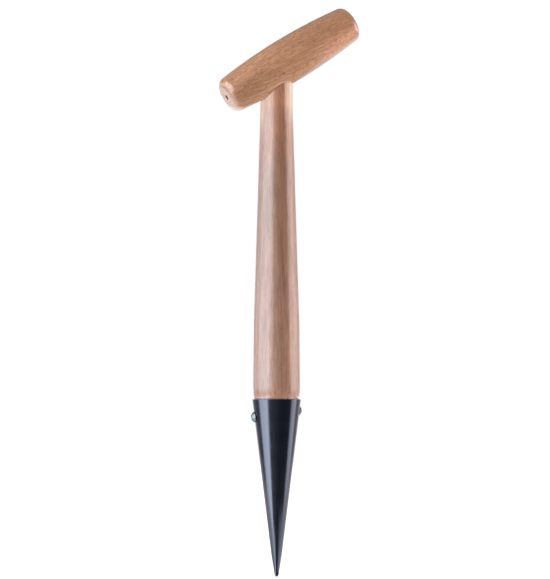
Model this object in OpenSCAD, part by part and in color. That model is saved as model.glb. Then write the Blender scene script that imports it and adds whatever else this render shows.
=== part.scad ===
// Hand dibber for planting holes: a turned barrel grip set at a slant on a tapered wooden shaft,
// with a hollow steel cone screwed over the shaft's lower end.
// Millimetres. The shaft's axis is Z, the tip is at the origin, and the grip lies in the XZ plane
// with its high end towards +X.

/* [Overall] */
// Height of the grip's centre line above the tip, on the shaft's axis
crossing_z = 380; // [340:0.5:440]
// Height of the steel cone, from its tip to its mouth
cone_h = 132; // [110:1:150]

/* [Shaft] */
// Diameter of the wooden butt, just above the cone
butt_d = 35; // [32:0.1:40]
// How much the butt draws in, on its radius, on the way up to the knee
butt_draw = 0.45; // [0.2:0.05:1.5]
// Height over which the butt's lower edge is rounded down into the cone's mouth
shoulder_h = 11; // [6:0.5:16]
// Height of the knee, where the long taper starts, above the cone's mouth
knee_up = 57; // [40:0.5:80]
// Diameter of the round tenon in the grip
tenon_d = 24; // [18:0.5:26]
// How far below the grip the taper ends and the tenon starts
neck_below = 1.5; // [0.5:0.5:10]
// How far the tenon rises above the grip's centre line
tenon_rise = 5; // [0:0.5:7]
// Chamfer round the top of the tenon
tenon_chamfer = 1; // [0.5:0.1:2]
// Length of the tapered spigot inside the cone
spigot_l = 100; // [70:1:105]
// Chamfer round the spigot's lower end
spigot_chamfer = 0.8; // [0.3:0.1:1.5]

/* [Grip] */
// Length of the grip between its end faces
grip_l = 115; // [100:0.5:140]
// Diameter of the grip in the middle of the barrel
grip_d = 33.6; // [31:0.1:40]
// How much the barrel draws in, on its radius, from its middle to its ends
barrel_draw = 3.7; // [2:0.1:7]
// Rounding of the barrel's edges at both end faces
grip_edge_r = 5.7; // [1:0.1:7]
// Angle of the grip off square to the shaft
grip_slant = 30.5; // [15:0.5:38]
// Distance along the grip from the shaft's axis to the grip's middle
grip_offset = 11.7; // [0:0.1:20]
// Diameter of the lathe-centre dimple in each end face
dimple_d = 3.7; // [2:0.1:5]
// Depth of the lathe-centre dimple
dimple_depth = 3; // [1.5:0.1:4]

/* [Steel point] */
// Thickness of the sheet steel
sheet_t = 1.4; // [1:0.1:2]
// How far the cone's rim stands out from the butt, on the radius
rim_proud = 0.6; // [0.2:0.1:0.8]
// Radius of the cone's side, carried down to the level of the tip
foot_r = 1.86; // [1.6:0.02:2.6]
// Height of the ground point, which is sharper than the cone
grind_h = 16; // [12:0.5:17]
// Radius of the rounded tip
tip_r = 1.5; // [1.2:0.1:1.8]
// Height of solid weld inside the tip
tip_fill = 9; // [8:0.5:14]
// Bevel on the cut edges of the sheet at the mouth
rim_bevel = 0.3; // [0.1:0.05:0.4]
// Width of the weld bead down the back of the cone
seam_w = 2.4; // [1.8:0.1:3]
// Height of the weld bead above the sheet
seam_proud = 0.35; // [0.2:0.05:0.5]
// Distance up the cone's side at which the bead starts
seam_from = 19; // [18:1:30]
// Distance below the rim, down the cone's side, at which the bead ends
seam_short = 1; // [0.6:0.1:3]

/* [Cone screws] */
// Diameter of the screw's thread
screw_d = 3.9; // [3:0.1:4.8]
// Length of the screw under its head
screw_l = 16; // [12:0.5:18]
// Length of the screw's pointed end
screw_point_l = 4; // [2:0.5:6]
// Diameter of the pan head
screw_head_d = 7.8; // [7:0.1:9]
// Height of the pan head
screw_head_h = 2.9; // [2.3:0.1:3.5]
// Height of the straight edge under the head's dome
screw_edge_h = 0.6; // [0.4:0.1:1.2]
// Length of the cross recess's arms, tip to tip
recess_l = 4.4; // [3.4:0.1:5]
// Width of the cross recess's arms
recess_w = 1.1; // [0.8:0.1:1.4]
// Depth of the cross recess
recess_depth = 1.8; // [1:0.1:2]
// Distance of the left screw below the cone's mouth
left_screw_drop = 13.2; // [7:0.1:20]
// Angle of the left screw around the shaft
left_screw_turn = 172; // [150:1:210]
// Distance of the right screw below the cone's mouth
right_screw_drop = 8.4; // [7:0.1:20]
// Angle of the right screw around the shaft
right_screw_turn = 3; // [-30:1:30]

/* [Grip nail] */
// Diameter of the nail's head
nail_head_d = 1.8; // [1.8:0.1:3]
// Height of the nail's head
nail_head_h = 1; // [0.5:0.1:2]
// Diameter of the nail's shank
nail_d = 1.4; // [1:0.1:1.7]
// Length of the nail
nail_l = 24; // [18:0.5:26]
// Length of the nail's pointed end
nail_point_l = 3; // [1.5:0.5:5]
// How far the head is sunk below the grip's surface
nail_sink = 0.3; // [0.3:0.1:1.5]
// Distance of the nail below the grip's centre line, along the shaft
nail_drop = 5.5; // [0:0.5:7]

/* [Clearances] */
// Gap between the spigot and the inside of the cone
spigot_gap = 0.1; // [0.05:0.05:0.3]
// Glue gap round the tenon in its mortise
tenon_gap = 0.1; // [0.05:0.05:0.3]
// Gap over the tenon's top in the mortise
mortise_gap = 0.5; // [0.2:0.1:1]
// Gap round a screw where it goes through the sheet
sheet_hole_gap = 0.2; // [0.1:0.05:0.5]
// Gap round a screw or nail in the wood
wood_hole_gap = 0.05; // [0.02:0.01:0.1]
// Gap between a screw head and the sheet that it is driven up to
screw_seat_gap = 0.05; // [0.02:0.01:0.2]

/* [Hidden] */
$fn = 96;
// Sides of a full circle where only a short stretch of a long arc is used
long_arc_fn = 720;
// Straight steps that make up the arc of the shaft's shoulder
shoulder_steps = 12;

// Room left past a surface by a cutting shape
overcut = 1;
// How far a rounding arc stands past the side that it runs into, so that the two cross cleanly
arc_lap = 0.005;

// Cone: a straight side down from the mouth's rim, and a ground point that runs from it into the round tip
mouth_r = butt_d / 2 + rim_proud;
cone_angle = atan2(mouth_r - foot_r, cone_h);
side_l = cone_h / cos(cone_angle);
grind_r = foot_r + grind_h * tan(cone_angle);
grind_to_tip = norm([grind_r, grind_h - tip_r]);
grind_angle = atan2(grind_r, grind_h - tip_r) - asin(tip_r / grind_to_tip);

// A point of the cone's wall in section: along its side from the tip's plane, and inward
function wall_point(along, inward) =
    [foot_r + along * sin(cone_angle) - inward * cos(cone_angle),
     along * cos(cone_angle) + inward * sin(cone_angle)];

// Radius of a line that lies inward of the cone's side, at a height
function wall_radius(z, inward) = foot_r + z * tan(cone_angle) - inward / cos(cone_angle);

// Shaft: heights and radii of its section, from the spigot up to the tenon
wood_inset = sheet_t + spigot_gap;
spigot_z = cone_h - spigot_l;
spigot_r = wall_radius(spigot_z, wood_inset);
butt_z = cone_h + shoulder_h;
knee_z = cone_h + knee_up;
knee_r = butt_d / 2 - butt_draw;
tenon_r = tenon_d / 2;
saddle_z = crossing_z - tenon_r * tan(grip_slant) - grip_d / 2 / cos(grip_slant);
neck_z = saddle_z - neck_below;
tenon_z = crossing_z + tenon_rise;

// Shoulder arc: it leaves the butt smoothly and ends at the wood's radius in the mouth
shoulder_top = [butt_d / 2, butt_z];
shoulder_foot = wall_point(side_l, wood_inset);
butt_normal = [knee_z - butt_z, butt_draw] / norm([knee_z - butt_z, butt_draw]);
shoulder_chord = shoulder_top - shoulder_foot;
shoulder_r = shoulder_chord * shoulder_chord / (2 * shoulder_chord * butt_normal);
shoulder_centre = shoulder_top - shoulder_r * butt_normal;
shoulder_from = atan2(shoulder_foot[1] - shoulder_centre[1], shoulder_foot[0] - shoulder_centre[0]);
shoulder_to = atan2(butt_normal[1], butt_normal[0]);
shoulder_arc = [for (step = [0:shoulder_steps])
    let (turn = shoulder_from + (shoulder_to - shoulder_from) * step / shoulder_steps)
    shoulder_centre + shoulder_r * [cos(turn), sin(turn)]];

// Grip: one long arc along the barrel, and an arc that rounds it into each flat end face
grip_r = grip_d / 2;
half_l = grip_l / 2;
barrel_r = (half_l * half_l + barrel_draw * barrel_draw) / (2 * barrel_draw);
barrel_centre = grip_r - barrel_r;
edge_y = half_l - grip_edge_r;
edge_centre_l = barrel_r - grip_edge_r;
face_r = barrel_centre + sqrt(edge_centre_l * edge_centre_l - edge_y * edge_y) + arc_lap;
barrel_y = edge_y * barrel_r / edge_centre_l;
dimple_cut_l = dimple_depth + overcut;

// Radius of the barrel at a distance along the grip from its middle
function barrel_radius(y) = barrel_centre + sqrt(barrel_r * barrel_r - y * y);

// Nail: it goes in along +Y, square to the slant, from the front of the grip
nail_z = crossing_z - nail_drop;
nail_along = -grip_offset - nail_drop * sin(grip_slant);
nail_off_axis = nail_drop * cos(grip_slant);
nail_barrel_r = barrel_radius(nail_along);
nail_surface = sqrt(nail_barrel_r * nail_barrel_r - nail_off_axis * nail_off_axis);
nail_y = nail_sink - nail_surface;

// Screw: radius of the dome on its head
head_rise = screw_head_h - screw_edge_h;
dome_r = (screw_head_d * screw_head_d / 4 + head_rise * head_rise) / (2 * head_rise);

// Moves from the grip's own frame, with its axis along Z and its middle at the origin, to its place
module at_grip() {
    translate([0, 0, crossing_z])
        rotate([0, 90 - grip_slant, 0])
            translate([0, 0, grip_offset])
                children();
}

// Moves to a point on the cone's side, with Z pointing straight out of the sheet
module at_cone_side(drop, turn) {
    rotate([0, 0, turn])
        translate([mouth_r - drop * tan(cone_angle), 0, cone_h - drop])
            rotate([0, 90 + cone_angle, 0])
                children();
}

// Moves to the nail's place, with Z pointing into the grip
module at_nail() {
    translate([0, nail_y, nail_z])
        rotate([-90, 0, 0])
            children();
}

// A pin with a pointed lower end, hanging below the origin
module pointed_pin(pin_d, pin_l, point_l) {
    translate([0, 0, point_l - pin_l])
        cylinder(h = pin_l - point_l, d = pin_d);
    translate([0, 0, -pin_l])
        cylinder(h = point_l, d1 = 0, d2 = pin_d);
}

// Pilot holes of both screws in the spigot
module pilot_holes() {
    for (place = [[left_screw_drop, left_screw_turn], [right_screw_drop, right_screw_turn]])
        at_cone_side(place[0], place[1])
            pointed_pin(screw_d + 2 * wood_hole_gap, screw_l + wood_hole_gap, screw_point_l);
}

// Hole of the nail in the grip and the tenon, open at the grip's front
module nail_hole() {
    at_nail() {
        mirror([0, 0, 1])
            pointed_pin(nail_d + 2 * wood_hole_gap, nail_l + wood_hole_gap, nail_point_l);
        translate([0, 0, -nail_sink - overcut])
            cylinder(h = nail_sink + overcut + nail_head_h + wood_hole_gap,
                     d = nail_head_d + 2 * wood_hole_gap);
    }
}

// Half section of the grip, revolved about its own axis
module grip_section() {
    intersection() {
        translate([barrel_centre, 0])
            circle(barrel_r, $fn = long_arc_fn);
        translate([0, -barrel_y])
            square([grip_r, 2 * barrel_y]);
    }
    for (end = [-1, 1])
        translate([face_r, end * edge_y])
            circle(grip_edge_r);
    translate([0, -half_l])
        square([face_r, grip_l]);
}

module grip() {
    color([0.69, 0.50, 0.36])
    difference() {
        at_grip()
            rotate_extrude()
                grip_section();
        at_grip()
            for (end = [0, 1])
                mirror([0, 0, end])
                    translate([0, 0, half_l - dimple_depth])
                        cylinder(h = dimple_cut_l, d1 = 0, d2 = dimple_d * dimple_cut_l / dimple_depth);
        translate([0, 0, saddle_z - overcut])
            cylinder(h = tenon_z + mortise_gap - saddle_z + overcut, r = tenon_r + tenon_gap);
        nail_hole();
    }
}

// Half section of the shaft: the spigot, the shoulder's arc, the butt, the taper and the tenon
module shaft_section() {
    polygon(concat(
        [[0, spigot_z],
         [spigot_r - spigot_chamfer, spigot_z],
         [wall_radius(spigot_z + spigot_chamfer, wood_inset), spigot_z + spigot_chamfer]],
        shoulder_arc,
        [[knee_r, knee_z],
         [tenon_r, neck_z],
         [tenon_r, tenon_z - tenon_chamfer],
         [tenon_r - tenon_chamfer, tenon_z],
         [0, tenon_z]]
    ));
}

module shaft() {
    color([0.80, 0.67, 0.57])
    difference() {
        rotate_extrude()
            shaft_section();
        pilot_holes();
        nail_hole();
    }
}

// Half section of the steel cone, with its hollow and the solid tip
module cone_section() {
    polygon([
        [0, tip_r],
        [tip_r * cos(grind_angle), tip_r - tip_r * sin(grind_angle)],
        [grind_r, grind_h],
        wall_point(side_l - rim_bevel, 0),
        wall_point(side_l, rim_bevel),
        wall_point(side_l, sheet_t - rim_bevel),
        wall_point(side_l - rim_bevel, sheet_t),
        [wall_radius(tip_fill, sheet_t), tip_fill],
        [0, tip_fill]
    ]);
    intersection() {
        translate([0, tip_r + arc_lap])
            circle(tip_r + arc_lap);
        square([2 * tip_r, 2 * tip_r]);
    }
}

// Weld bead along one straight line of the cone's side, at the back
module seam_bead() {
    bead_r = (seam_w * seam_w / 4 + seam_proud * seam_proud) / (2 * seam_proud);
    rotate([0, 0, 90])
        translate([foot_r, 0, 0])
            rotate([0, cone_angle, 0])
                translate([seam_proud - bead_r, 0, seam_from])
                    cylinder(h = side_l - seam_short - seam_from, r = bead_r);
}

// The hollow inside the cone, as a solid
module cone_hollow() {
    rotate_extrude()
        polygon([
            [0, tip_fill],
            [wall_radius(tip_fill, sheet_t), tip_fill],
            wall_point(side_l + overcut, sheet_t),
            [0, wall_point(side_l + overcut, sheet_t)[1]]
        ]);
}

module steel_point() {
    color([0.11, 0.11, 0.13])
    difference() {
        union() {
            rotate_extrude()
                cone_section();
            difference() {
                seam_bead();
                cone_hollow();
            }
        }
        for (place = [[left_screw_drop, left_screw_turn], [right_screw_drop, right_screw_turn]])
            at_cone_side(place[0], place[1])
                translate([0, 0, -sheet_t - overcut])
                    cylinder(h = sheet_t + 2 * overcut, d = screw_d + 2 * sheet_hole_gap);
    }
}

// Half section of a pan head, standing on its flat underside
module head_section() {
    square([screw_head_d / 2, screw_edge_h]);
    intersection() {
        translate([0, screw_head_h - dome_r])
            circle(dome_r);
        translate([0, screw_edge_h])
            square([screw_head_d / 2, head_rise]);
    }
}

// Cross recess, tapering from its mouth down to its floor
module cross_recess() {
    translate([0, 0, screw_head_h - recess_depth])
        intersection() {
            cylinder(h = recess_depth + overcut, d1 = recess_l / 2, d2 = recess_l + overcut);
            for (turn = [0, 90])
                rotate([0, 0, turn])
                    translate([-recess_l / 2, -recess_w / 2, 0])
                        cube([recess_l, recess_w, recess_depth + overcut]);
        }
}

module cone_screw(drop, turn) {
    color([0.76, 0.77, 0.79])
    at_cone_side(drop, turn)
        translate([0, 0, screw_seat_gap])
            difference() {
                union() {
                    rotate_extrude()
                        head_section();
                    pointed_pin(screw_d, screw_l, screw_point_l);
                }
                cross_recess();
            }
}

module screw_left() {
    cone_screw(left_screw_drop, left_screw_turn);
}

module screw_right() {
    cone_screw(right_screw_drop, right_screw_turn);
}

module grip_nail() {
    color([0.30, 0.27, 0.25])
    at_nail() {
        cylinder(h = nail_head_h, d = nail_head_d);
        mirror([0, 0, 1])
            pointed_pin(nail_d, nail_l, nail_point_l);
    }
}

grip();
shaft();
steel_point();
screw_left();
screw_right();
grip_nail();
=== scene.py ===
"""Looks of the hand dibber: a varnished beech grip and shaft, and a black-painted steel cone.

Metres, in the frame of the CAD model: the tip is at the origin and the shaft's axis is Z.
"""

import math

import bmesh
import bpy
from mathutils import Matrix, Vector, noise


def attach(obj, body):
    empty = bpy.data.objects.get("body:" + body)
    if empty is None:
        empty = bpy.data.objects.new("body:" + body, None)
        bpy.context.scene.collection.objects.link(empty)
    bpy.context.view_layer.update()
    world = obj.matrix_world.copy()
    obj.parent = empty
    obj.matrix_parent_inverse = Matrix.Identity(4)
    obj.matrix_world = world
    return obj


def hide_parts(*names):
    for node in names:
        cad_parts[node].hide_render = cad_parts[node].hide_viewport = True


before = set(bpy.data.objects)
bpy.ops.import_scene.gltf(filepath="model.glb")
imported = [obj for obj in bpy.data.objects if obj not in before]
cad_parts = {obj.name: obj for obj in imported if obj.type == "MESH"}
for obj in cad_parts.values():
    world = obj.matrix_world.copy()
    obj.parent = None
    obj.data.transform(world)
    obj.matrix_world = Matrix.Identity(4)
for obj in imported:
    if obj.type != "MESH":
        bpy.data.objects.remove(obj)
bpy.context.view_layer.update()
scene = bpy.context.scene

MM = 0.001

# Sizes in millimetres, the same as in the part's source
CROSSING_Z = 380.0
CONE_H = 132.0
BUTT_R = 17.5
BUTT_DRAW = 0.45
SHOULDER_H = 11.0
KNEE_UP = 57.0
TENON_R = 12.0
NECK_BELOW = 1.5
TENON_RISE = 5.0
TENON_CHAMFER = 1.0
SPIGOT_L = 100.0
SPIGOT_CHAMFER = 0.8
GRIP_L = 115.0
GRIP_R = 16.8
BARREL_DRAW = 3.7
GRIP_EDGE_R = 5.7
GRIP_SLANT = 30.5
GRIP_OFFSET = 11.7
DIMPLE_R = 1.85
DIMPLE_DEPTH = 3.0
SHEET_T = 1.4
RIM_PROUD = 0.6
FOOT_R = 1.86
GRIND_H = 16.0
TIP_R = 1.5
TIP_FILL = 9.0
SEAM_W = 2.4
SEAM_PROUD = 0.35
SEAM_FROM = 19.0
SEAM_SHORT = 1.0
SCREW_D = 3.9
SCREW_L = 16.0
SCREW_POINT_L = 4.0
NAIL_D = 1.4
NAIL_L = 24.0
NAIL_POINT_L = 3.0
NAIL_HEAD_D = 1.8
NAIL_HEAD_H = 1.0
NAIL_SINK = 0.3
NAIL_DROP = 5.5
SPIGOT_GAP = 0.1
TENON_GAP = 0.1
MORTISE_GAP = 0.5
SHEET_HOLE_GAP = 0.2
WOOD_HOLE_GAP = 0.05

# Each screw's distance below the mouth, and its turn round the shaft in degrees
SCREWS = ((13.2, 172.0), (8.4, 3.0))

# Finish that only the looks have: the cone's broken edge, the shaft's softened knee and the turning marks
RIM_EDGE = 0.1
KNEE_SOFT = 14.0
FACE_RINGS = 14
FACE_RING_DEPTH = 0.035
DIMPLE_LIP = 0.35

# Steps round a turned piece, and round a hole in it
ROUND_WOOD = 144
ROUND_STEEL = 192
ROUND_MORTISE = 128
ROUND_HOLE = 40
ROUND_BORE = 32

# How far cutters stand out of the surface that they cut, and how deep the sheet's holes are cut
BORE_PAST = 2.0
SEAT_PAST = 3.0
HOLE_DEPTH = 4.0

# Sizes that follow from these, by the same formulas as in the part's source
MOUTH_R = BUTT_R + RIM_PROUD
CONE_ANGLE = math.atan2(MOUTH_R - FOOT_R, CONE_H)
SIDE_L = CONE_H / math.cos(CONE_ANGLE)
GRIND_R = FOOT_R + GRIND_H * math.tan(CONE_ANGLE)
GRIND_TO_TIP = math.hypot(GRIND_R, GRIND_H - TIP_R)
GRIND_ANGLE = math.atan2(GRIND_R, GRIND_H - TIP_R) - math.asin(TIP_R / GRIND_TO_TIP)
WOOD_INSET = SHEET_T + SPIGOT_GAP
SLANT = math.radians(GRIP_SLANT)
HALF_L = GRIP_L / 2
BARREL_R = (HALF_L**2 + BARREL_DRAW**2) / (2 * BARREL_DRAW)
BARREL_CENTRE = GRIP_R - BARREL_R
SADDLE_Z = CROSSING_Z - TENON_R * math.tan(SLANT) - GRIP_R / math.cos(SLANT)
NECK_Z = SADDLE_Z - NECK_BELOW
TENON_Z = CROSSING_Z + TENON_RISE
KNEE_Z = CONE_H + KNEE_UP
BUTT_Z = CONE_H + SHOULDER_H

GRIP_TURN = math.pi / 2 - SLANT
AT_GRIP = (
    Matrix.Translation((0, 0, CROSSING_Z * MM))
    @ Matrix.Rotation(GRIP_TURN, 4, "Y")
    @ Matrix.Translation((0, 0, GRIP_OFFSET * MM))
)


def wall_radius(z, inward):
    """Radius of a line that lies inward of the cone's side, at a height."""
    return FOOT_R + z * math.tan(CONE_ANGLE) - inward / math.cos(CONE_ANGLE)


def wall_point(along, inward):
    """The (radius, height) of a point along the cone's side from its foot, and inward of it."""
    return (
        FOOT_R + along * math.sin(CONE_ANGLE) - inward * math.cos(CONE_ANGLE),
        along * math.cos(CONE_ANGLE) + inward * math.sin(CONE_ANGLE),
    )


def barrel_radius(y):
    """Radius of the barrel at a distance along the grip from its middle."""
    return BARREL_CENTRE + math.sqrt(BARREL_R**2 - y * y)


def at_cone_side(drop, turn):
    """The place on the cone's side at a distance below the mouth, with Z pointing out of the sheet."""
    return (
        Matrix.Rotation(math.radians(turn), 4, "Z")
        @ Matrix.Translation(((MOUTH_R - drop * math.tan(CONE_ANGLE)) * MM, 0, (CONE_H - drop) * MM))
        @ Matrix.Rotation(math.pi / 2 + CONE_ANGLE, 4, "Y")
    )


def at_nail():
    """The nail's place, with Z pointing out of the grip's front."""
    along = -GRIP_OFFSET - NAIL_DROP * math.sin(SLANT)
    off_axis = NAIL_DROP * math.cos(SLANT)
    surface = math.sqrt(barrel_radius(along) ** 2 - off_axis**2)
    place = Matrix.Translation((0, (NAIL_SINK - surface) * MM, (CROSSING_Z - NAIL_DROP) * MM))
    return place @ Matrix.Rotation(math.pi / 2, 4, "X")


# Mesh helpers


def steps_to(start, end, count):
    """Evenly spaced values, from one step after start up to end."""
    return [start + (end - start) * i / count for i in range(1, count + 1)]


def to_object(name, bm):
    """Makes a scene object of a bmesh."""
    mesh = bpy.data.meshes.new(name)
    bm.to_mesh(mesh)
    bm.free()
    obj = bpy.data.objects.new(name, mesh)
    scene.collection.objects.link(obj)
    return obj


def lathe(name, profile, steps, shape=None):
    """A turned solid: profile is (radius, height) in mm from pole to pole; shape may move each point."""
    bm = bmesh.new()
    rings = []
    for r, z in profile:
        if r <= 1e-6:
            rings.append([bm.verts.new((0, 0, z * MM))])
            continue
        ring = []
        for i in range(steps):
            turn = 2 * math.pi * i / steps
            rr, zz = (r, z) if shape is None else shape(r, z, turn)
            ring.append(bm.verts.new((rr * math.cos(turn) * MM, rr * math.sin(turn) * MM, zz * MM)))
        rings.append(ring)
    for low, high in zip(rings, rings[1:]):
        for i in range(steps):
            j = (i + 1) % steps
            if len(low) == 1:
                bm.faces.new((low[0], high[j], high[i]))
            elif len(high) == 1:
                bm.faces.new((low[i], low[j], high[0]))
            else:
                bm.faces.new((low[i], low[j], high[j], high[i]))
    bmesh.ops.recalc_face_normals(bm, faces=bm.faces)
    return to_object(name, bm)


def smooth(obj, angle=32):
    """Shades a mesh smooth, with edges sharper than the angle left crisp."""
    obj.data.shade_smooth()
    obj.data.set_sharp_from_angle(angle=math.radians(angle))


def pin(name, radius, low, high, place, steps, point=0.0):
    """A cutting cylinder from low to high along its own Z, in mm, with an optional pointed lower end."""
    obj = lathe(name, [(0, low), (radius, low + point), (radius, high), (0, high)], steps)
    obj.matrix_world = place
    return obj


def nail_bore():
    """The hole for the nail's shank, which the grip and the tenon share."""
    radius = NAIL_D / 2 + WOOD_HOLE_GAP
    return pin("nail_bore", radius, -NAIL_L, BORE_PAST, at_nail(), ROUND_BORE, NAIL_POINT_L)


def cut(obj, *cutters):
    """Cuts each cutter out of a mesh and removes the cutters."""
    for cutter in cutters:
        mod = obj.modifiers.new("cut", "BOOLEAN")
        mod.operation = "DIFFERENCE"
        mod.solver = "EXACT"
        mod.object = cutter
    bpy.context.view_layer.update()
    made = bpy.data.meshes.new_from_object(obj.evaluated_get(bpy.context.evaluated_depsgraph_get()))
    old = obj.data
    obj.modifiers.clear()
    obj.data = made
    made.name = obj.name
    bpy.data.meshes.remove(old)
    for cutter in cutters:
        mesh = cutter.data
        bpy.data.objects.remove(cutter)
        bpy.data.meshes.remove(mesh)


# Grip


def grip_profile():
    """Half section of the barrel, with rounded ends, fine turning rings and a centre dimple in each face."""
    edge_y = HALF_L - GRIP_EDGE_R
    edge_l = BARREL_R - GRIP_EDGE_R
    face_r = BARREL_CENTRE + math.sqrt(edge_l**2 - edge_y**2)
    half = [(barrel_radius(y), y) for y in [0.0] + steps_to(0.0, edge_y * BARREL_R / edge_l, 36)]
    start = math.atan2(half[-1][0] - face_r, half[-1][1] - edge_y)
    for turn in steps_to(start, 0.0, 16):
        half.append((face_r + GRIP_EDGE_R * math.sin(turn), edge_y + GRIP_EDGE_R * math.cos(turn)))
    for i, r in enumerate(steps_to(face_r, DIMPLE_R + DIMPLE_LIP, FACE_RINGS), 1):
        half.append((r, HALF_L - FACE_RING_DEPTH * (i % 2)))
    # The dimple: its worn edge, its sides and its blunt bottom
    half += [(DIMPLE_R + 0.1, HALF_L - 0.06), (DIMPLE_R - 0.1, HALF_L - 0.3)]
    half += [(0.35, HALF_L - DIMPLE_DEPTH + 0.45), (0, HALF_L - DIMPLE_DEPTH)]
    return [(r, -y) for r, y in half[:0:-1]] + half


def make_grip():
    """The barrel, with the mortise, the nail's bore and the seat of its head cut out."""
    head_r = NAIL_HEAD_D / 2 + WOOD_HOLE_GAP
    head_z = -NAIL_HEAD_H - WOOD_HOLE_GAP
    mortise_r = TENON_R + TENON_GAP
    mortise_low = SADDLE_Z - BORE_PAST
    mortise_high = TENON_Z + MORTISE_GAP
    obj = lathe("grip_turned", grip_profile(), ROUND_WOOD)
    obj.data.transform(AT_GRIP)
    cut(
        obj,
        pin("mortise", mortise_r, mortise_low, mortise_high, Matrix.Identity(4), ROUND_MORTISE),
        nail_bore(),
        pin("nail_seat", head_r, head_z, SEAT_PAST, at_nail(), ROUND_BORE),
    )
    smooth(obj)
    return obj


# Shaft


def shaft_profile():
    """Half section of the shaft: spigot, rounded shoulder, butt, soft knee, taper and tenon."""
    # Spigot
    spigot_z = CONE_H - SPIGOT_L
    chamfer_z = spigot_z + SPIGOT_CHAMFER
    foot = wall_point(SIDE_L, WOOD_INSET)
    out = [(0, spigot_z), (wall_radius(spigot_z, WOOD_INSET) - SPIGOT_CHAMFER, spigot_z)]
    for z in [chamfer_z] + steps_to(chamfer_z, foot[1], 8)[:-1]:
        out.append((wall_radius(z, WOOD_INSET), z))

    # Shoulder: an arc that runs into the butt's side
    rise = KNEE_Z - BUTT_Z
    side_l = math.hypot(rise, BUTT_DRAW)
    normal = (rise / side_l, BUTT_DRAW / side_l)
    chord = (BUTT_R - foot[0], BUTT_Z - foot[1])
    radius = (chord[0] ** 2 + chord[1] ** 2) / (2 * (chord[0] * normal[0] + chord[1] * normal[1]))
    centre = (BUTT_R - radius * normal[0], BUTT_Z - radius * normal[1])
    start = math.atan2(foot[1] - centre[1], foot[0] - centre[0])
    for turn in [start] + steps_to(start, math.atan2(normal[1], normal[0]), 20):
        out.append((centre[0] + radius * math.cos(turn), centre[1] + radius * math.sin(turn)))

    # Butt, knee and taper
    knee_r = BUTT_R - BUTT_DRAW
    low_slope = -BUTT_DRAW / rise
    high_slope = (TENON_R - knee_r) / (NECK_Z - KNEE_Z)
    for z in steps_to(BUTT_Z, KNEE_Z - KNEE_SOFT, 8)[:-1]:
        out.append((BUTT_R + low_slope * (z - BUTT_Z), z))
    for t in [0.0] + steps_to(0.0, 1.0, 16):
        z = KNEE_Z - KNEE_SOFT + 2 * KNEE_SOFT * t
        low = knee_r + low_slope * (z - KNEE_Z)
        high = knee_r + high_slope * (z - KNEE_Z)
        out.append((low + (high - low) * t * t * (3 - 2 * t), z))
    for z in steps_to(KNEE_Z + KNEE_SOFT, NECK_Z, 32):
        out.append((knee_r + high_slope * (z - KNEE_Z), z))

    # Tenon
    for z in steps_to(NECK_Z, TENON_Z - TENON_CHAMFER, 11):
        out.append((TENON_R, z))
    return out + [(TENON_R - TENON_CHAMFER, TENON_Z), (0, TENON_Z)]


def make_shaft():
    """The shaft, with the nail's bore and the screws' pilot holes."""
    pilot_r = SCREW_D / 2 + WOOD_HOLE_GAP
    bores = [nail_bore()]
    for drop, turn in SCREWS:
        place = at_cone_side(drop, turn)
        bores.append(pin("pilot", pilot_r, -SCREW_L, BORE_PAST, place, ROUND_BORE, SCREW_POINT_L))
    obj = lathe("shaft_turned", shaft_profile(), ROUND_WOOD)
    cut(obj, *bores)
    smooth(obj)
    return obj


# Steel cone: rolled sheet with a hand-rolled waviness, a welded tip and a weld bead down the back


def cone_profile():
    """Half section of the hollow cone: ground point, outer side, rim, inner side and the tip's solid weld."""
    # Point
    out = [(0, 0)]
    for turn in steps_to(-math.pi / 2, -GRIND_ANGLE, 8):
        out.append((TIP_R * math.cos(turn), TIP_R + TIP_R * math.sin(turn)))
    low_r, low = out[-1]
    for t in steps_to(0.0, 1.0, 12):
        out.append((low_r + (GRIND_R - low_r) * t, low + (GRIND_H - low) * t))

    # Outer side, with one more ring close to the edge, so that the shading of the edge stays narrow
    edge_l = SIDE_L - RIM_EDGE
    top = wall_point(edge_l, 0)[1]
    for z in steps_to(GRIND_H, top, 88)[:-1] + [top - RIM_EDGE, top]:
        out.append((FOOT_R + z * math.tan(CONE_ANGLE), z))

    # Rim and inner side
    for turn in steps_to(0.0, math.pi / 2, 4)[:-1]:
        out.append(wall_point(edge_l + RIM_EDGE * math.sin(turn), RIM_EDGE - RIM_EDGE * math.cos(turn)))
    out.append(wall_point(SIDE_L, RIM_EDGE))
    out.append(wall_point(SIDE_L, SHEET_T - RIM_EDGE))
    out.append(wall_point(edge_l, SHEET_T))
    for z in steps_to(out[-1][1], TIP_FILL, 24):
        out.append((wall_radius(z, SHEET_T), z))
    return out + [(0, TIP_FILL)]


def cone_shape(r, z, turn):
    """The slight waviness of hand-rolled sheet, and the lumps of the weld at the tip."""
    wave_depth = 0.07
    lump_depth = 0.16
    across = Vector((math.cos(turn), math.sin(turn), 0))
    wave = noise.noise(across * 0.9 + Vector((3.1, 0.7, 5.2 + z * 0.016)))
    wave *= wave_depth * min(1.0, max(0.0, (z - 6) / 20))
    lump = noise.noise(across * 1.4 + Vector((0, 0, z * 0.6)))
    lump *= lump_depth * max(0.0, 1 - z / TIP_FILL) * min(1.0, r / TIP_R)
    return r + wave + lump, z


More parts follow.
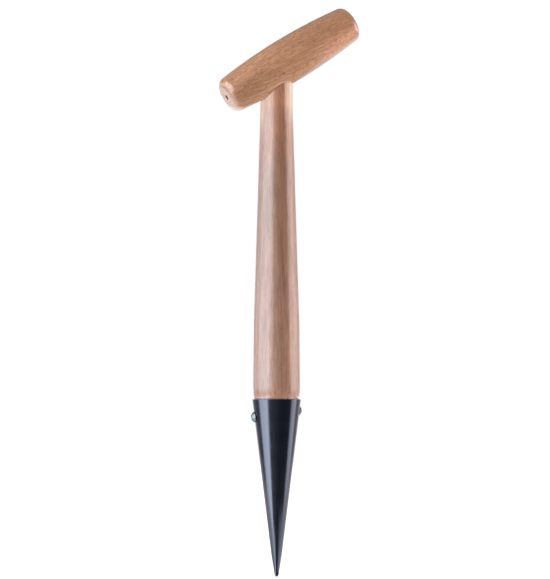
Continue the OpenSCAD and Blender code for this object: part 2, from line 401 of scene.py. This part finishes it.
def seam_bead(bm):
    """The weld bead down the back of the cone, with its ripples, as a strip that is let into the sheet."""
    across = 8
    pitch = 0.3
    let_in = 0.14
    ripple_h = 0.07
    ripple_l = 1.5
    seam_to = CONE_H - SEAM_SHORT
    count = int((seam_to - SEAM_FROM) / pitch)
    rows = []
    for z in [SEAM_FROM] + steps_to(SEAM_FROM, seam_to, count):
        fade = min(1.0, (z - SEAM_FROM) / 4 + 0.15)
        wander = 0.18 * noise.noise(Vector((0.3, 1.7, z * 0.11)))
        swell = 1 + 0.18 * noise.noise(Vector((4.2, 0.4, z * 0.35)))
        row = []
        for i in range(across + 1):
            s = -1 + 2 * i / across
            x = (s * SEAM_W / 2 * swell * (0.55 + 0.45 * fade)) + wander
            ripple = ripple_h * math.sin(2 * math.pi * (z - 0.55 * s * s) / ripple_l)
            up = (SEAM_PROUD + ripple) * fade * (1 - s * s) - let_in * s * s
            r = FOOT_R + z * math.tan(CONE_ANGLE) + up
            turn = math.pi / 2 - x / max(r, TIP_R)
            row.append(bm.verts.new((r * math.cos(turn) * MM, r * math.sin(turn) * MM, z * MM)))
        rows.append(row)
    for low, high in zip(rows, rows[1:]):
        for i in range(across):
            bm.faces.new((low[i + 1], low[i], high[i], high[i + 1]))


def make_steel():
    """The cone, with the screws' clearance holes and the seam's bead."""
    hole_r = SCREW_D / 2 + SHEET_HOLE_GAP
    holes = []
    for drop, turn in SCREWS:
        holes.append(pin("hole", hole_r, -HOLE_DEPTH, SEAT_PAST, at_cone_side(drop, turn), ROUND_HOLE))
    obj = lathe("steel_cone", cone_profile(), ROUND_STEEL, cone_shape)
    cut(obj, *holes)
    bm = bmesh.new()
    bm.from_mesh(obj.data)
    seam_bead(bm)
    bm.to_mesh(obj.data)
    bm.free()
    smooth(obj, 40)
    return obj


# Materials


class Shader:
    """A short way to write a node tree."""

    def __init__(self, tree):
        self.tree = tree
        tree.nodes.clear()

    def add(self, kind, **values):
        """Adds a node; a value that is a socket is linked, and any other is set on the input of that name."""
        node = self.tree.nodes.new(kind)
        for key, value in values.items():
            if key.startswith("at_"):
                self.put(node.inputs[int(key[3:])], value)
            elif key.replace("_", " ") in node.inputs:
                self.put(node.inputs[key.replace("_", " ")], value)
            else:
                setattr(node, key, value)
        return node

    def put(self, socket, value):
        """Links a socket to another, or sets its value."""
        if isinstance(value, bpy.types.NodeSocket):
            self.tree.links.new(value, socket)
        else:
            socket.default_value = value

    def math(self, operation, a, b=0.0, clamp=False):
        return self.add("ShaderNodeMath", operation=operation, use_clamp=clamp, at_0=a, at_1=b).outputs[0]

    def times(self, value, *others):
        """The product of the values."""
        for other in others:
            value = self.math("MULTIPLY", value, other)
        return value

    def plus(self, value, *others):
        """The sum of the values."""
        for other in others:
            value = self.math("ADD", value, other)
        return value

    def length(self, x, y):
        """The length of a flat vector."""
        return self.math("SQRT", self.plus(self.times(x, x), self.times(y, y)))

    def ramp(self, value, low, high, out_low=0.0, out_high=1.0):
        """A smooth step from out_low to out_high while the value goes from low to high."""
        node = self.add("ShaderNodeMapRange", interpolation_type="SMOOTHSTEP", at_0=value)
        for i, v in enumerate((low, high, out_low, out_high), 1):
            self.put(node.inputs[i], v)
        return node.outputs[0]

    def fall(self, value, low, high):
        """A smooth step from 1 down to 0 while the value goes from low to high."""
        return self.ramp(value, low, high, 1.0, 0.0)

    def band(self, value, rise, fall):
        """1 between two smooth steps: a rise from 0 over the first range, and a fall to 0 over the second."""
        return self.times(self.ramp(value, *rise), self.fall(value, *fall))

    def mix(self, factor, a, b, blend="MIX"):
        node = self.add("ShaderNodeMix", data_type="RGBA", blend_type=blend, clamp_factor=True)
        self.put(node.inputs[0], factor)
        self.put(node.inputs[6], a)
        self.put(node.inputs[7], b)
        return node.outputs[2]

    def tint(self, factor, colour, by):
        """The colour multiplied by a tint, as far as the factor says."""
        return self.mix(factor, colour, by, "MULTIPLY")

    def vector(self, operation, a, b=(0, 0, 0)):
        return self.add("ShaderNodeVectorMath", operation=operation, at_0=a, at_1=b).outputs[0]

    def axes(self, vector):
        """The three parts of a vector."""
        return self.add("ShaderNodeSeparateXYZ", Vector=vector).outputs

    def scaled(self, vector, x, y, z, shift=(0, 0, 0), turn=(0, 0, 0)):
        """The vector turned, then stretched, then shifted."""
        if any(turn):
            vector = self.add("ShaderNodeMapping", Vector=vector, Rotation=turn).outputs[0]
        return self.add("ShaderNodeMapping", Vector=vector, Scale=(x, y, z), Location=shift).outputs[0]

    def noise(self, vector, scale=1.0, detail=2.0, rough=0.5):
        node = self.add("ShaderNodeTexNoise", Vector=vector, Scale=scale, Detail=detail, Roughness=rough)
        return node.outputs[0]

    def surface(self, shader):
        """Makes a shader node the material's surface."""
        self.add("ShaderNodeOutputMaterial", Surface=shader.outputs[0])


def new_material(name):
    """A new material, and the shader to write it with."""
    mat = bpy.data.materials.new(name)
    mat.use_nodes = True
    return mat, Shader(mat.node_tree)


def rgb(r, g, b):
    return (r, g, b, 1.0)


# Growth of the wood: how far the pith lies outside a piece's axis, in metres, and the bands in a metre
PITH_OUT = 0.075
BANDS = 420.0

# Ray flecks of two sizes: cells in a metre across, deep and along, the share left empty, and a spot's size
FLECKS = ((1250.0, 170.0, 200.0, 0.1, 0.4), (1800.0, 240.0, 300.0, 0.15, 0.44))


def wood(name, place, light, dark, fleck, fleck_amount, streaks, turn, seed, joint):
    """Varnished beech with its grain along the piece: growth bands, streaks, fibres and ray flecks.

    place makes the piece's own frame, with its axis along Z. streaks gives how fine the streaks and
    fibres are, across and along. turn leads from that frame to the grain's, in which X runs towards the
    pith. joint adds what the piece has at its joints and ends.
    """
    mat, s = new_material(name)
    place = place(s, s.add("ShaderNodeTexCoord").outputs["Object"])
    grain = s.scaled(place, 1, 1, 1, seed, turn)

    # The grain wanders a little along the piece
    sway = s.add("ShaderNodeTexNoise", Vector=s.scaled(grain, 14, 14, 6), Scale=1.0, Detail=1.0).outputs[1]
    sway = s.vector("SUBTRACT", sway, (0.5, 0.5, 0.5))
    sway = s.vector("MULTIPLY", sway, (0.006, 0.006, 0.0))
    grain = s.vector("ADD", grain, sway)

    # Growth bands round a pith that lies outside the piece
    x, y = s.axes(grain)[:2]
    ring = s.times(s.length(s.math("SUBTRACT", x, PITH_OUT), y), BANDS)
    bands = s.add("ShaderNodeTexNoise", noise_dimensions="1D", W=ring, Scale=1.0, Detail=3.0, Roughness=0.6)
    bands = s.ramp(bands.outputs[0], 0.3, 0.72)

    # Streaks and fibres, and the slow change of tone over the piece
    (wide, long), (fine, short) = streaks
    streak = s.ramp(s.noise(s.scaled(grain, wide, wide, long), 1.0, 3.0, 0.6), 0.3, 0.7)
    fibre = s.ramp(s.noise(s.scaled(grain, fine, fine, short), 1.0, 3.0, 0.65), 0.28, 0.72)
    tone = s.ramp(s.noise(s.scaled(grain, 45, 45, 14), 1.0, 2.0, 0.5), 0.3, 0.7)

    # Rays: thin short flecks on one side of the wood, broader ones a quarter turn on
    flecks = 0.0
    for across, deep, along, share, size in FLECKS:
        cell = s.scaled(grain, deep, across, along, (across, 0, 0))
        cell = s.add("ShaderNodeTexVoronoi", Vector=cell, Scale=1.0, Randomness=1.0)
        spot = s.fall(cell.outputs["Distance"], size * 0.35, size)
        chance = s.add("ShaderNodeSeparateColor", Color=cell.outputs["Color"]).outputs[0]
        spot = s.times(spot, s.ramp(chance, share, share + 0.5))
        flecks = s.math("MAXIMUM", flecks, spot)

    amount = s.plus(s.times(bands, 0.22), s.times(fibre, 0.34), s.times(streak, 0.4))
    amount = s.math("ADD", amount, s.times(tone, 0.16), True)
    colour = s.mix(amount, light, dark)
    colour = s.tint(s.times(flecks, fleck_amount), colour, fleck)
    colour, bare = joint(s, place, colour)

    gloss = s.plus(s.times(fibre, 0.1), s.times(streak, 0.08), 0.33, s.times(bare, 0.4))
    relief = s.plus(s.times(fibre, 0.5), s.times(flecks, -0.6), s.times(streak, 0.7))
    bump = s.add("ShaderNodeBump", Strength=0.22, Distance=0.00016, Height=relief)
    s.surface(s.add(
        "ShaderNodeBsdfPrincipled",
        Base_Color=colour,
        Roughness=gloss,
        IOR=1.5,
        Specular_IOR_Level=0.5,
        Coat_Weight=s.math("SUBTRACT", 1.0, bare),
        Coat_Roughness=0.19,
        Coat_IOR=1.5,
        Normal=bump.outputs[0],
    ))
    return mat


def shaft_place(s, place):
    """The shaft's own frame is the part's."""
    return place


def grip_place(s, place):
    """The grip's own frame, with its middle at the origin and X towards its underside."""
    place = s.add(
        "ShaderNodeMapping",
        vector_type="TEXTURE",
        Vector=place,
        Location=(0, 0, CROSSING_Z * MM),
        Rotation=(0, GRIP_TURN, 0),
    ).outputs[0]
    return s.vector("SUBTRACT", place, (0, 0, GRIP_OFFSET * MM))


def shaft_joints(s, place, colour):
    """Lighter wood low down and warmer wood higher up, painted light towards the grip and on the shoulder,
    the shoulder's open pores, and painted shade in both joints.
    """
    z = s.axes(place)[2]
    colour = s.tint(s.fall(z, 0.19, 0.25), colour, rgb(1.22, 1.15, 1.15))
    colour = s.tint(s.ramp(z, 0.19, 0.25), colour, rgb(1.0, 0.91, 0.83))
    # Painted light: lighter towards the grip, in place of light bounced off its underside, and lighter again
    # just under the grip, where it shades the shaft
    colour = s.tint(s.ramp(z, 0.285, 0.352), colour, rgb(1.25, 1.13, 1.05))
    colour = s.tint(s.ramp(z, 0.344, 0.357), colour, rgb(1.38, 1.38, 1.34))

    # Shoulder: painted light from below, paler and bluer towards its foot, with open pores
    shoulder = s.fall(z, (CONE_H + 1) * MM, (BUTT_Z + 2) * MM)
    colour = s.tint(shoulder, colour, rgb(1.25, 1.25, 1.32))
    foot = s.fall(z, (CONE_H + 1) * MM, (CONE_H + 5) * MM)
    colour = s.tint(foot, colour, rgb(1.4, 1.45, 1.6))
    pores = s.ramp(s.noise(s.scaled(place, 900, 900, 420), 1.0, 2.0, 0.6), 0.42, 0.62)
    colour = s.tint(s.times(shoulder, pores, 0.5), colour, rgb(0.74, 0.56, 0.44))

    # Painted shade at the cone's mouth, and along the saddle of the grip, whose barrel draws in from its
    # middle
    mouth = s.ramp(z, (CONE_H + 0.05) * MM, (CONE_H + 0.5) * MM, 0.85, 0.0)
    colour = s.tint(mouth, colour, rgb(0.2, 0.1, 0.06))
    x, y, along = s.axes(grip_place(s, place))
    drawn = s.times(along, along, 0.5 / (BARREL_R * MM))
    off = s.plus(s.length(x, y), drawn)
    saddle = s.ramp(off, (GRIP_R - 0.1) * MM, (GRIP_R + 0.6) * MM, 0.7, 0.0)
    return s.tint(saddle, colour, rgb(0.25, 0.13, 0.08)), s.math("MAXIMUM", mouth, saddle)


def grip_joints(s, place, colour):
    """Sapwood below with painted light, painted light and shade along the top and at the low end, the end
    grain of both faces under a painted highlight, and painted shade in the dimples.
    """
    x, y, z = s.axes(place)

    # Sapwood along the lower edge of the high end, lightened as painted light from below and made bluer on
    # its lower limb as a painted sheen; painted light and shade along the top; and painted shade at the low
    # end
    # Painted light: the sapwood band is lightened, and its lower limb made paler and bluer as a sheen
    sap_and_underlight = s.times(s.ramp(x, -0.003, 0.007), s.ramp(z, -0.005, 0.042))
    pale = s.mix(s.ramp(x, 0.008, 0.0125), rgb(1.42, 1.42, 1.75), rgb(1.36, 1.3, 1.3))
    colour = s.tint(sap_and_underlight, colour, pale)
    # Heartwood tone with painted light and shade along the top: lighter at the low end, darker at the high
    # end
    heart_and_top_light = s.mix(s.ramp(z, -0.05, 0.055), rgb(1.2, 1.2, 1.2), rgb(0.87, 0.79, 0.7))
    colour = s.tint(s.fall(x, -0.009, 0.004), colour, heart_and_top_light)
    # Painted shade: the low end made darker
    low = s.times(s.band(x, (-0.011, -0.004), (0.008, 0.013)), s.fall(z, -0.044, -0.018))
    colour = s.tint(low, colour, rgb(0.82, 0.81, 0.8))

    # End faces: year rings round a pith below the grip's axis, with pores in them
    end = s.math("ABSOLUTE", z)
    off = s.length(x, y)
    face = s.times(s.fall(off, 0.0078, 0.0116), s.ramp(end, (HALF_L - 4.5) * MM, (HALF_L - 3.5) * MM))
    wander = s.times(s.noise(s.scaled(place, 160, 160, 20), 1.0, 2.0, 0.5), 0.0022)
    year = s.plus(s.length(s.math("SUBTRACT", x, 0.03), y), wander)
    year = s.math("SINE", s.times(year, 2 * math.pi / 0.0024))
    pores = s.ramp(s.noise(s.scaled(place, 1500, 1500, 30), 1.0, 2.0, 0.6), 0.46, 0.6)
    rings = s.times(s.ramp(year, -0.2, 0.9), s.plus(0.35, s.times(pores, 0.65)))
    # Painted highlight: the faces and their rounded edges made pale, over the end grain's own colour
    colour = s.mix(s.times(face, 0.58), colour, rgb(0.69, 0.49, 0.41))
    colour = s.tint(s.times(face, rings, 0.6), colour, rgb(0.55, 0.46, 0.44))

    # Painted shade in the dimples
    dimple = s.fall(off, (DIMPLE_R - 0.2) * MM, (DIMPLE_R + 0.45) * MM)
    dimple = s.times(dimple, s.ramp(end, (HALF_L - 3.5) * MM, (HALF_L - 3.1) * MM))
    bare = s.math("MAXIMUM", dimple, s.times(face, 0.35))
    return s.tint(dimple, colour, rgb(0.2, 0.08, 0.055)), bare


def paint(name):
    """Glossy blue-black paint over steel: faint orange peel, fine scuffs, and worn through at the tip."""
    mat, s = new_material(name)
    place = s.add("ShaderNodeTexCoord").outputs["Object"]
    peel = s.noise(place, 520.0, 2.0, 0.5)
    cloud = s.ramp(s.noise(place, 70.0, 4.0, 0.6), 0.35, 0.7)
    scuff = s.ramp(s.noise(s.scaled(place, 500, 500, 60), 1.0, 4.0, 0.7), 0.62, 0.78)
    near_tip = s.ramp(s.axes(place)[2], 0.0, 0.0075, 0.34, 0.0)
    worn = s.ramp(s.plus(near_tip, s.times(s.noise(place, 900.0, 3.0, 0.65), 0.5)), 0.56, 0.66)
    colour = s.mix(cloud, rgb(0.0021, 0.0038, 0.0084), rgb(0.0034, 0.0056, 0.0114))
    colour = s.mix(s.times(scuff, 0.35), colour, rgb(0.03, 0.034, 0.042))
    colour = s.mix(worn, colour, rgb(0.16, 0.155, 0.15))
    rough = s.plus(0.15, s.times(cloud, 0.04), s.times(scuff, 0.12), s.times(worn, 0.2))
    relief = s.math("SUBTRACT", peel, s.times(worn, 0.5))
    bump = s.add("ShaderNodeBump", Strength=0.1, Distance=0.0001, Height=relief)
    s.surface(s.add(
        "ShaderNodeBsdfPrincipled",
        Base_Color=colour,
        Roughness=rough,
        Metallic=s.times(worn, 0.8),
        IOR=1.8,
        Specular_IOR_Level=0.5,
        Specular_Tint=rgb(0.77, 0.81, 1.0),
        Normal=bump.outputs[0],
    ))
    return mat


def metal(name, bright, dull, rough, grain, bare=1.0):
    """Metal with a cloudy surface and fine scratches; where bare is 0 it is covered over."""
    mat, s = new_material(name)
    place = s.add("ShaderNodeTexCoord").outputs["Object"]
    cloud = s.ramp(s.noise(place, grain, 4.0, 0.6), 0.35, 0.68)
    fine = s.noise(place, grain * 6, 2.0, 0.5)
    bump = s.add("ShaderNodeBump", Strength=0.12, Distance=0.00005, Height=fine)
    s.surface(s.add(
        "ShaderNodeBsdfPrincipled",
        Base_Color=s.mix(cloud, bright, dull),
        Roughness=s.plus(rough, s.times(cloud, 0.14)),
        Metallic=bare,
        Normal=bump.outputs[0],
    ))
    return mat


grip_wood = wood(
    "beech_grip",
    grip_place,
    light=rgb(0.78, 0.38, 0.188),
    dark=rgb(0.37, 0.165, 0.074),
    fleck=rgb(0.5, 0.4, 0.32),
    fleck_amount=0.75,
    streaks=((780.0, 46.0), (1600.0, 110.0)),
    turn=(0.0, math.radians(-6.5), math.pi / 2),
    seed=(0.013, 0.021, 0.4),
    joint=grip_joints,
)
shaft_wood = wood(
    "beech_shaft",
    shaft_place,
    light=rgb(0.445, 0.235, 0.144),
    dark=rgb(0.18, 0.088, 0.052),
    fleck=rgb(0.66, 0.56, 0.5),
    fleck_amount=0.4,
    streaks=((620.0, 44.0), (1350.0, 120.0)),
    turn=(0.0, math.radians(0.5), math.radians(-70)),
    seed=(0.004, 0.017, 0.11),
    joint=shaft_joints,
)
black_paint = paint("black_paint_gloss")
zinc = metal("zinc_bright", rgb(0.2, 0.205, 0.215), rgb(0.11, 0.115, 0.125), 0.34, 900.0)
nail_steel = metal("nail_stopped", rgb(0.4, 0.19, 0.095), rgb(0.26, 0.12, 0.058), 0.5, 1400.0, 0.0)

# Pieces

grip = make_grip()
shaft = make_shaft()
steel = make_steel()

for piece, node, slot, mat in (
    (grip, "grip", "grip_wood", grip_wood),
    (shaft, "shaft", "shaft_wood", shaft_wood),
    (steel, "steel_point", "black_paint", black_paint),
):
    piece.data.materials.clear()
    piece.data.materials.append(mat)
    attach(piece, "root")
    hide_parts(node)

for node, mat in (("screw_left", zinc), ("screw_right", zinc), ("grip_nail", nail_steel)):
    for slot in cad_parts[node].material_slots:
        slot.material = mat

# Camera, at the photograph's viewing angle: the image's height in pixels, and a pixel's size at the shaft

AZIMUTH = math.radians(-20.0)
ELEVATION = math.radians(-1.3)
DISTANCE = 5.0
AIM_Z = 0.214
AIM_RIGHT = -0.0012
IMAGE_H = 579
PIXEL = 0.0007459
SENSOR = 36

to_camera = Vector((
    math.sin(AZIMUTH) * math.cos(ELEVATION),
    -math.cos(AZIMUTH) * math.cos(ELEVATION),
    math.sin(ELEVATION),
))
to_right = Vector((math.cos(AZIMUTH), math.sin(AZIMUTH), 0))
CAMERA_SIDE = math.atan2(to_camera.y, to_camera.x)

camera = bpy.data.objects.new("camera", bpy.data.cameras.new("camera"))
camera.location = Vector((0, 0, AIM_Z)) + to_right * AIM_RIGHT + to_camera * DISTANCE
camera.rotation_mode = "QUATERNION"
camera.rotation_quaternion = (-to_camera).to_track_quat("-Z", "Y")
camera.data.sensor_width = SENSOR
camera.data.lens = SENSOR * DISTANCE / (IMAGE_H * PIXEL)
camera.data.clip_start = 0.1
camera.data.clip_end = 60
scene.collection.objects.link(camera)
scene.camera = camera

# Studio: an even white dome that lights the wood, and round it the panels and surfaces that the gloss mirrors

STUDIO_R = 12.0
FLOOR_HALF = 25.0


def surround(s, way):
    """Angles of a direction in degrees: how far right of the camera's side, and how far above level."""
    turned = s.add("ShaderNodeVectorRotate", rotation_type="Z_AXIS", Vector=way, Angle=-CAMERA_SIDE)
    x, y, z = s.axes(turned.outputs[0])
    side = s.times(s.math("ARCTAN2", y, x), 180 / math.pi)
    height = s.times(s.math("ARCSINE", z), 180 / math.pi)
    return side, height


def left_to_right(s, side, left, right):
    """A colour that goes from one at the left of the part to another at its right."""
    return s.mix(s.ramp(side, -60, 60), left, right)


def dome_light():
    """The dome: a little brighter to the right and above, and brightest below; the camera sees it white."""
    world = bpy.data.worlds.new("studio")
    world.use_nodes = True
    scene.world = world
    s = Shader(world.node_tree)
    side, height = surround(s, s.add("ShaderNodeTexCoord").outputs["Generated"])
    dome = s.mix(s.ramp(side, -70, 70), rgb(0.69, 0.69, 0.69), rgb(0.84, 0.84, 0.84))
    dome = s.mix(s.ramp(height, 15, 45), dome, rgb(0.86, 0.85, 0.84))
    dome = s.mix(s.fall(height, -60, -30), dome, rgb(1.15, 1.13, 1.1))
    low_left = s.times(
        s.band(side, (-135, -105), (-75, -45)),
        s.band(height, (-60, -40), (-5, 15)),
    )
    dome = s.mix(low_left, dome, rgb(1.4, 1.38, 1.36))
    seen = s.add("ShaderNodeLightPath").outputs["Is Camera Ray"]
    background = s.add("ShaderNodeBackground", Color=s.mix(seen, dome, rgb(1, 1, 1)), Strength=1.0)
    s.add("ShaderNodeOutputWorld", Surface=background.outputs[0])


def room_light(s, side, height):
    """What the gloss mirrors of the room: its front, its back with both flanks, its top and its floor."""
    beside = s.math("ABSOLUTE", side)
    behind = s.ramp(beside, 92, 106)
    front = s.mix(s.ramp(height, -9, -3), rgb(0.22, 0.22, 0.24), rgb(1.8, 1.75, 1.7))
    light = s.mix(s.ramp(side, -30, 25), front, rgb(0.07, 0.07, 0.08))
    back = left_to_right(s, side, rgb(0.1, 0.11, 0.13), rgb(0.27, 0.28, 0.33))
    light = s.mix(behind, light, back)

    side_back = s.times(behind, s.band(height, (-7, 0), (8, 16)))
    far_side = left_to_right(s, side, rgb(0.9, 0.88, 0.95), rgb(1.25, 0.85, 0.65))
    light = s.mix(side_back, light, s.mix(s.ramp(beside, 116, 138), rgb(2.2, 2.25, 2.4), far_side))
    light = s.mix(s.ramp(height, 24, 52), light, rgb(0.45, 0.45, 0.45))
    light = s.mix(s.fall(height, -52, -24), light, rgb(0.4, 0.4, 0.4))

    low_back = s.times(s.band(beside, (138, 156), (163, 171)), s.fall(height, 1, 8))
    low_light = left_to_right(s, side, rgb(3.4, 3.35, 3.3), rgb(1.2, 1.15, 1.1))
    light = s.mix(low_back, light, s.mix(s.ramp(height, -16, -8), low_light, rgb(0.8, 0.83, 0.92)))
    near_floor = s.times(
        s.band(side, (-140, -120), (-60, -40)),
        s.band(height, (-80, -65), (-36, -24)),
    )
    return s.mix(near_floor, light, rgb(2.2, 2.2, 2.25))


def panel_light(s, side, height, light):
    """Adds the two tall light panels; their inner edges flare out with the height that the part mirrors."""
    flare = s.math("SUBTRACT", s.math("MAXIMUM", s.math("MINIMUM", height, 5.0), -16.0), 3.0)
    upright = s.ramp(height, -9, -5)

    edge = s.math("SUBTRACT", side, s.times(flare, 1.4))
    edge = s.fall(edge, s.ramp(height, -8, -2, -29, -40), s.ramp(height, -8, -2, -18, -14))
    end = s.ramp(side, s.ramp(height, -9, -5, -97, -106), s.ramp(height, -9, -5, -88, -92))
    left = s.times(end, edge, s.band(height, (-32, -24), (38, 50)))
    left_far = s.mix(upright, rgb(4.0, 4.25, 4.35), rgb(4.3, 4.75, 5.2))
    left_near = s.mix(upright, rgb(5.8, 6.4, 6.65), rgb(5.6, 6.4, 7.2))
    light = s.mix(left, light, s.mix(s.ramp(side, -92, -40), left_far, left_near))

    edge = s.ramp(s.plus(side, s.times(flare, 0.85)), 62.9, 73.6)
    right = s.times(edge, s.fall(side, 104, 118), s.band(height, (-22, -2), (18, 28)))
    return s.mix(right, light, s.mix(upright, rgb(3.65, 3.8, 4.0), rgb(4.1, 3.45, 3.4)))


def mirrored_studio():
    """A sphere round the part that carries the room and its panels; only the gloss sees it."""
    bm = bmesh.new()
    bmesh.ops.create_icosphere(bm, subdivisions=5, radius=STUDIO_R)
    mirrored = to_object("mirrored_studio", bm)
    mat, s = new_material("mirrored_studio")
    side, height = surround(s, s.vector("NORMALIZE", s.add("ShaderNodeTexCoord").outputs["Object"]))
    light = panel_light(s, side, height, room_light(s, side, height))
    s.surface(s.add("ShaderNodeEmission", Color=light, Strength=1.0))
    mirrored.data.materials.append(mat)
    mirrored.visible_camera = False
    mirrored.visible_diffuse = False
    mirrored.visible_transmission = False
    mirrored.visible_shadow = False


def pale_floor():
    """The floor, which is clear from below."""
    bm = bmesh.new()
    bmesh.ops.create_grid(bm, x_segments=1, y_segments=1, size=FLOOR_HALF)
    floor = to_object("floor", bm)
    mat, s = new_material("pale_floor")
    pale = s.add(
        "ShaderNodeBsdfPrincipled",
        Base_Color=rgb(0.85, 0.85, 0.85),
        Roughness=0.9,
        Specular_IOR_Level=0.0,
        Emission_Color=rgb(1, 1, 1),
        Emission_Strength=0.55,
    )
    under = s.add("ShaderNodeNewGeometry").outputs["Backfacing"]
    clear = s.add("ShaderNodeBsdfTransparent")
    s.surface(s.add("ShaderNodeMixShader", at_0=under, at_1=pale.outputs[0], at_2=clear.outputs[0]))
    floor.data.materials.append(mat)
    floor.visible_diffuse = False
    floor.visible_glossy = False
    floor.visible_shadow = False


# Cards: small light and dim surfaces near the part, which only its gloss sees


def round_shaft(angle, reach, height):
    """A point in metres round the shaft's axis, at an angle in degrees from the camera's side."""
    turn = CAMERA_SIDE + math.radians(angle)
    return (reach * math.cos(turn), reach * math.sin(turn), height)


def make_card(name, rows, shows="both"):
    """Makes a card of rows of points, each a place and a glow: the light's colour, and how much of it shows.

    shows is the side of the card that can be seen: both, front or back.
    """
    bm = bmesh.new()
    glow = bm.verts.layers.float_color.new("glow")
    lines = []
    for row in rows:
        line = []
        for place, colour in row:
            point = bm.verts.new(place)
            point[glow] = colour
            line.append(point)
        lines.append(line)
    for low, high in zip(lines, lines[1:]):
        for i in range(len(low) - 1):
            bm.faces.new((low[i], high[i], high[i + 1], low[i + 1]))
    card = to_object(name, bm)

    mat, s = new_material(name)
    shine = s.add("ShaderNodeAttribute", attribute_name="glow")
    shown = shine.outputs["Alpha"]
    backward = s.add("ShaderNodeNewGeometry").outputs["Backfacing"]
    if shows == "back":
        shown = s.times(shown, backward)
    elif shows == "front":
        shown = s.times(shown, s.math("SUBTRACT", 1.0, backward))
    lit = s.add("ShaderNodeEmission", Color=shine.outputs["Color"], Strength=1.0)
    clear = s.add("ShaderNodeBsdfTransparent")
    s.surface(s.add("ShaderNodeMixShader", at_0=shown, at_1=clear.outputs[0], at_2=lit.outputs[0]))
    card.data.materials.append(mat)
    card.visible_camera = False
    card.visible_diffuse = False
    card.visible_shadow = False


def floor_card(name, rim, near):
    """A white card on the floor round one side of the point.

    rim gives its edge: the angle from the camera's side, the reach in metres and the brightness. near is
    the brightness close to the point, as a share of that.
    """
    inner = 0.012
    above_floor = 0.0004
    steps = 6
    near_within = 0.2
    near_fade = 0.11
    cool_white = (0.92, 0.94, 1.0)
    rows = []
    for (a0, r0, e0), (a1, r1, e1) in zip(rim, rim[1:]):
        for i in range(steps):
            k = i / steps
            angle = a0 + (a1 - a0) * k
            reach = r0 + (r1 - r0) * k
            row = []
            for share in (0.0, 0.2, 0.4, 0.6, 0.8, 0.95, 1.05):
                r = inner + (reach - inner) * share
                close = min(1.0, max(0.0, (near_within - r) / near_fade))
                strength = (e0 + (e1 - e0) * k) * (1 + (near - 1) * close)
                colour = tuple(strength * c for c in cool_white) + (1.0 if share < 1 else 0.0,)
                row.append((round_shaft(angle, r, above_floor), colour))
            rows.append(row)
    make_card(name, rows)


def corner_card(columns):
    """A card close round the shaft's front in the corners under the grip, which only the shaft sees.

    columns gives its upright lines: the angle from the camera's side, the tint, and how much of it shows.
    """
    gap = 0.4
    taper = 0.024
    right_lift = 5
    rows = []
    for angle, tint, part in columns:
        row = []
        for z, shown in ((326, 0.0), (334, 0.3), (340, 0.75), (346, 1.0), (366, 1.0)):
            z += right_lift if angle > 0 else 0
            reach = (TENON_R + gap + taper * max(0, NECK_Z - z)) * MM
            row.append((round_shaft(angle, reach, z * MM), tint + (shown * part,)))
        rows.append(row)
    make_card("card_corner", rows, "back")


def level_card(name, z, ring, first, last, soft, tint):
    """A level card round the shaft, which the gloss above it sees in place of the floor's cards.

    z is its height in millimetres, and ring gives its edges: the reach in metres and how much shows.
    first and last are its ends, as angles from the camera's side, and soft is how far it fades in at the
    first one.
    """
    steps = 48
    angles = [first] + steps_to(first, last, steps)
    rows = []
    for reach, shown in ring:
        row = []
        for angle in angles:
            fade = min(1.0, (angle - first) / soft) if soft else 1.0
            row.append((round_shaft(angle, reach, z * MM), tint + (shown * fade,)))
        rows.append(row)
    make_card(name, rows, "front")


dome_light()
mirrored_studio()
pale_floor()
corner_card((
    (-100, (0.8, 0.7, 0.6), 0),
    (-88, (0.8, 0.7, 0.6), 1),
    (-74, (1.6, 1.5, 1.3), 1),
    (-62, (3.4, 3.3, 2.9), 1),
    (-48, (4.0, 4.4, 4.2), 1),
    (-34, (4.1, 5.3, 5.9), 1),
    (-24, (4.4, 5.5, 6.3), 1),
    (-16, (4.4, 5.5, 6.3), 0),
    (28, (2.4, 3.0, 3.2), 0),
    (37, (2.5, 3.1, 3.3), 1),
    (48, (3.4, 3.8, 3.8), 1),
    (60, (4.1, 4.1, 4.0), 1),
    (72, (2.0, 1.9, 1.8), 1),
    (86, (1.2, 1.0, 0.9), 1),
    (100, (0.8, 0.7, 0.6), 0),
))
level_card(
    "card_mouth", CONE_H + 1, ((0.021, 0.55), (0.06, 0.5), (0.09, 0.3)),
    first=0, last=360, soft=0, tint=(0.5, 0.46, 0.43),
)
level_card(
    "card_shoulder_left", CONE_H + 0.4, ((0.0184, 1.0), (0.07, 1.0), (0.13, 0.0)),
    first=-84, last=-20, soft=40, tint=(4.2, 5.5, 6.6),
)
level_card(
    "card_shoulder_right", CONE_H + 0.4, ((0.0184, 1.0), (0.045, 1.0), (0.07, 0.0)),
    first=78, last=150, soft=10, tint=(2.3, 2.2, 2.2),
)
level_card(
    "card_under", 347, ((0.02, 1.0), (0.06, 1.0), (0.085, 0.0)),
    first=72, last=170, soft=18, tint=(0.5, 0.38, 0.3),
)
level_card(
    "card_end", 338, ((0.016, 0.0), (0.024, 1.0), (0.045, 1.0), (0.055, 0.0)),
    first=-120, last=-60, soft=15, tint=(2.1, 2.0, 1.95),
)
floor_card(
    "card_left",
    (
        (-8, 0.115, 0.0), (-18, 0.12, 0.7), (-30, 0.125, 3.3), (-41, 0.135, 5.0), (-55, 0.17, 3.6),
        (-67, 0.2, 2.6), (-81, 0.31, 2.0), (-97, 0.4, 1.6), (-116, 0.52, 1.2), (-144, 1.0, 0.9),
        (-178, 1.1, 0.9),
    ),
    near=0.9,
)
floor_card(
    "card_right",
    (
        (8, 0.185, 0.0), (29, 0.19, 0.42), (41, 0.195, 0.85), (53, 0.2, 1.2), (67, 0.215, 1.45),
        (81, 0.25, 1.6), (97, 0.42, 1.6), (116, 0.58, 1.5), (144, 1.1, 0.95), (178, 1.2, 0.95),
    ),
    near=1.4,
)

scene.view_settings.view_transform = "Standard"
scene.view_settings.look = "None"
